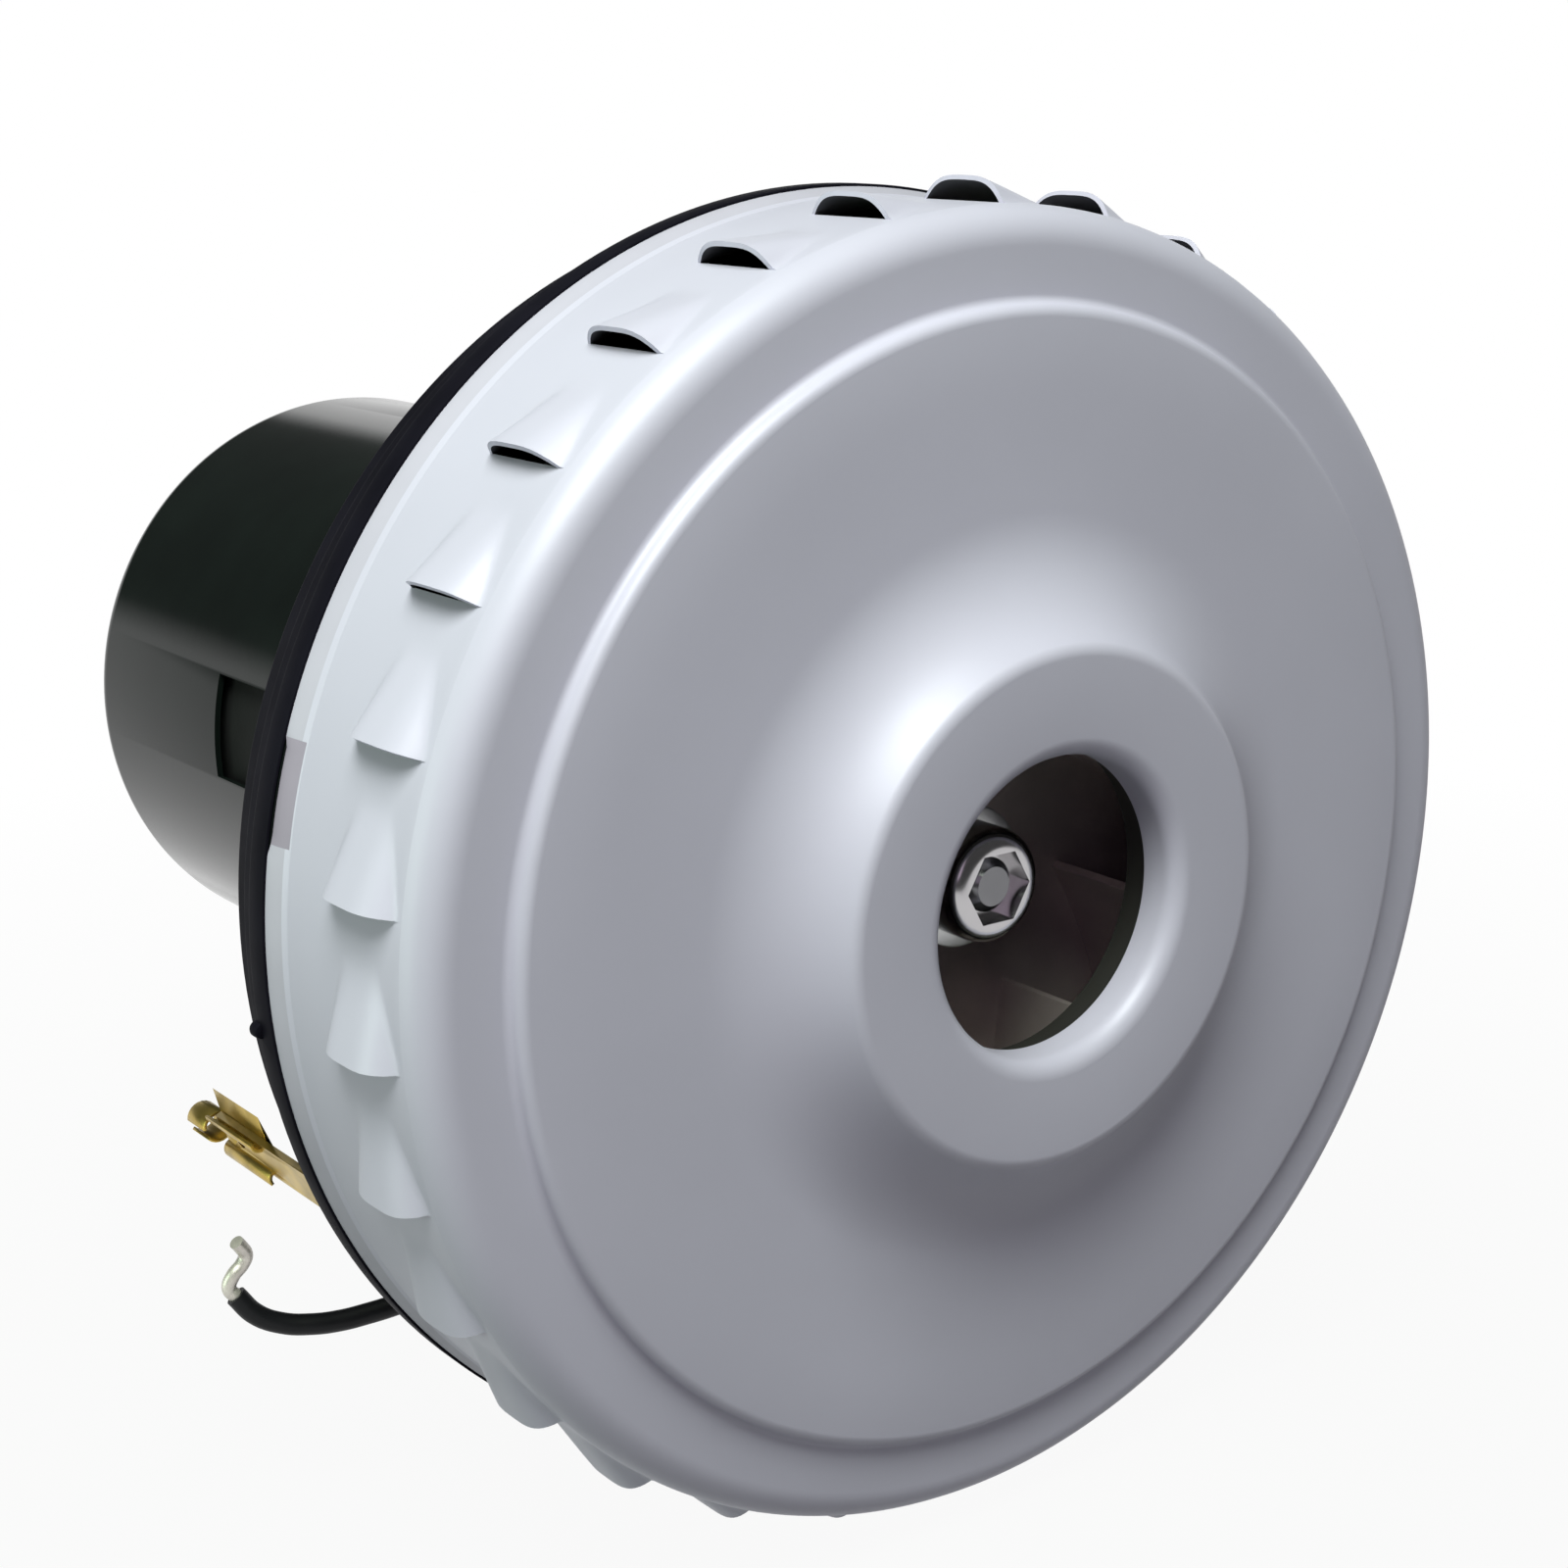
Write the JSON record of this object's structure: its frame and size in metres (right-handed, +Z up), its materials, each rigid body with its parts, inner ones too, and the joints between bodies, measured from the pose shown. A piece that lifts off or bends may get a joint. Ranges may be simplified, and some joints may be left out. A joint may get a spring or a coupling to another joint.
{
  "type": "vacuum motor",
  "caption": "Vacuum motor unit: a louvred drawn fan casing with a central inlet and an enclosed impeller, driven by a brushed motor in a round can.",
  "frame": {"origin": "on the motor axis, in the middle of the rim gasket's seat", "axes": "+Y along the motor axis from the inlet to the closed end of the can, +Z up as pictured, +X to the right seen from the inlet"},
  "size_m": [0.1492, 0.1565, 0.1498],
  "materials": {
    "casing_sheet": "satin zinc-coated drawn sheet",
    "black_paint": "gloss black enamel",
    "black_rubber": "smooth moulded rubber",
    "black_insulation": "satin lead insulation",
    "plated_steel": "zinc plated",
    "bearing_steel": "ground",
    "cage_steel": "pressed strip",
    "spring_steel": "drawn wire",
    "nut_chrome": "bright",
    "shaft_steel": "ground",
    "wheel_sheet": "rolled sheet",
    "turned_aluminium": "turned",
    "lamination": "stacked sheet edges",
    "cast_aluminium": "die cast",
    "enamelled_copper": "varnished winding",
    "copper": "turned bars",
    "brass_sheet": "stamped, slightly tarnished",
    "tinned_copper": "tinned strands",
    "white_nylon": "moulded",
    "phenolic": "moulded",
    "fan_nylon": "moulded",
    "carbon": "pressed graphite"
  },
  "bodies": {
    "housing": {"fan_casing": "casing_sheet", "back_plate": "black_paint", "rim_gasket": "black_rubber", "motor_can": "black_paint", "can_screws": "plated_steel", "front_bearing_retainer": "plated_steel", "front_bearing_outer": "bearing_steel", "rear_bearing_outer": "bearing_steel", "bearing_spring_washer": "spring_steel", "stator_seat_ring": "cast_aluminium", "stator_core": "lamination", "pole_liner_left": "white_nylon", "pole_liner_right": "white_nylon", "field_coil_left": "enamelled_copper", "field_coil_right": "enamelled_copper", "rear_bracket": "cast_aluminium", "stator_screws": "plated_steel", "stator_nuts": "plated_steel", "brush_holder_upper": "brass_sheet", "brush_holder_lower": "brass_sheet", "holder_sleeve_upper": "phenolic", "holder_sleeve_lower": "phenolic", "brush_spring_upper": "spring_steel", "brush_spring_lower": "spring_steel", "earth_tab": "brass_sheet", "tab_rivet": "plated_steel", "brass_terminal": "brass_sheet", "lead_grommet": "black_rubber", "lead_wire": "black_insulation", "lead_tip": "tinned_copper"},
    "rotor": {"shaft": "shaft_steel", "shaft_spacer": "plated_steel", "impeller_hub": "turned_aluminium", "impeller_back_disc": "wheel_sheet", "impeller_blades": "wheel_sheet", "impeller_front_shroud": "wheel_sheet", "nut_washer": "plated_steel", "shaft_nut": "nut_chrome", "front_bearing_inner": "bearing_steel", "rear_bearing_inner": "bearing_steel", "armature_core": "lamination", "armature_winding": "enamelled_copper", "commutator_hub": "phenolic", "commutator": "copper", "cooling_fan": "fan_nylon"},
    "front_cage": {"front_bearing_cage": "cage_steel", "front_bearing_balls": "bearing_steel"},
    "rear_cage": {"rear_bearing_cage": "cage_steel", "rear_bearing_balls": "bearing_steel"},
    "upper_brush": {"brush_upper": "carbon"},
    "lower_brush": {"brush_lower": "carbon"}
  },
  "joints": [
    {"name": "rotor_spin", "type": "hinge", "parent": "housing", "child": "rotor", "pos_m": [0, 0, 0], "axis": [0, -1, 0], "continuous": true},
    {"name": "front_cage_spin", "type": "hinge", "parent": "housing", "child": "front_cage", "pos_m": [0, 0, 0], "axis": [0, -1, 0], "continuous": true},
    {"name": "rear_cage_spin", "type": "hinge", "parent": "housing", "child": "rear_cage", "pos_m": [0, 0, 0], "axis": [0, -1, 0], "continuous": true},
    {"name": "upper_brush_slide", "type": "slide", "parent": "housing", "child": "upper_brush", "axis": [0, 0, 1], "range_m": [0, 0.004], "stiffness_N_per_m": 120, "springref_m": -0.02, "deforming": ["brush_spring_upper"]},
    {"name": "lower_brush_slide", "type": "slide", "parent": "housing", "child": "lower_brush", "axis": [0, 0, -1], "range_m": [0, 0.004], "stiffness_N_per_m": 120, "springref_m": -0.02, "deforming": ["brush_spring_lower"]}
  ],
  "couplings": [
    {"joint": "front_cage_spin", "follows": "rotor_spin", "ratio": 0.368},
    {"joint": "rear_cage_spin", "follows": "rotor_spin", "ratio": 0.368}
  ]
}
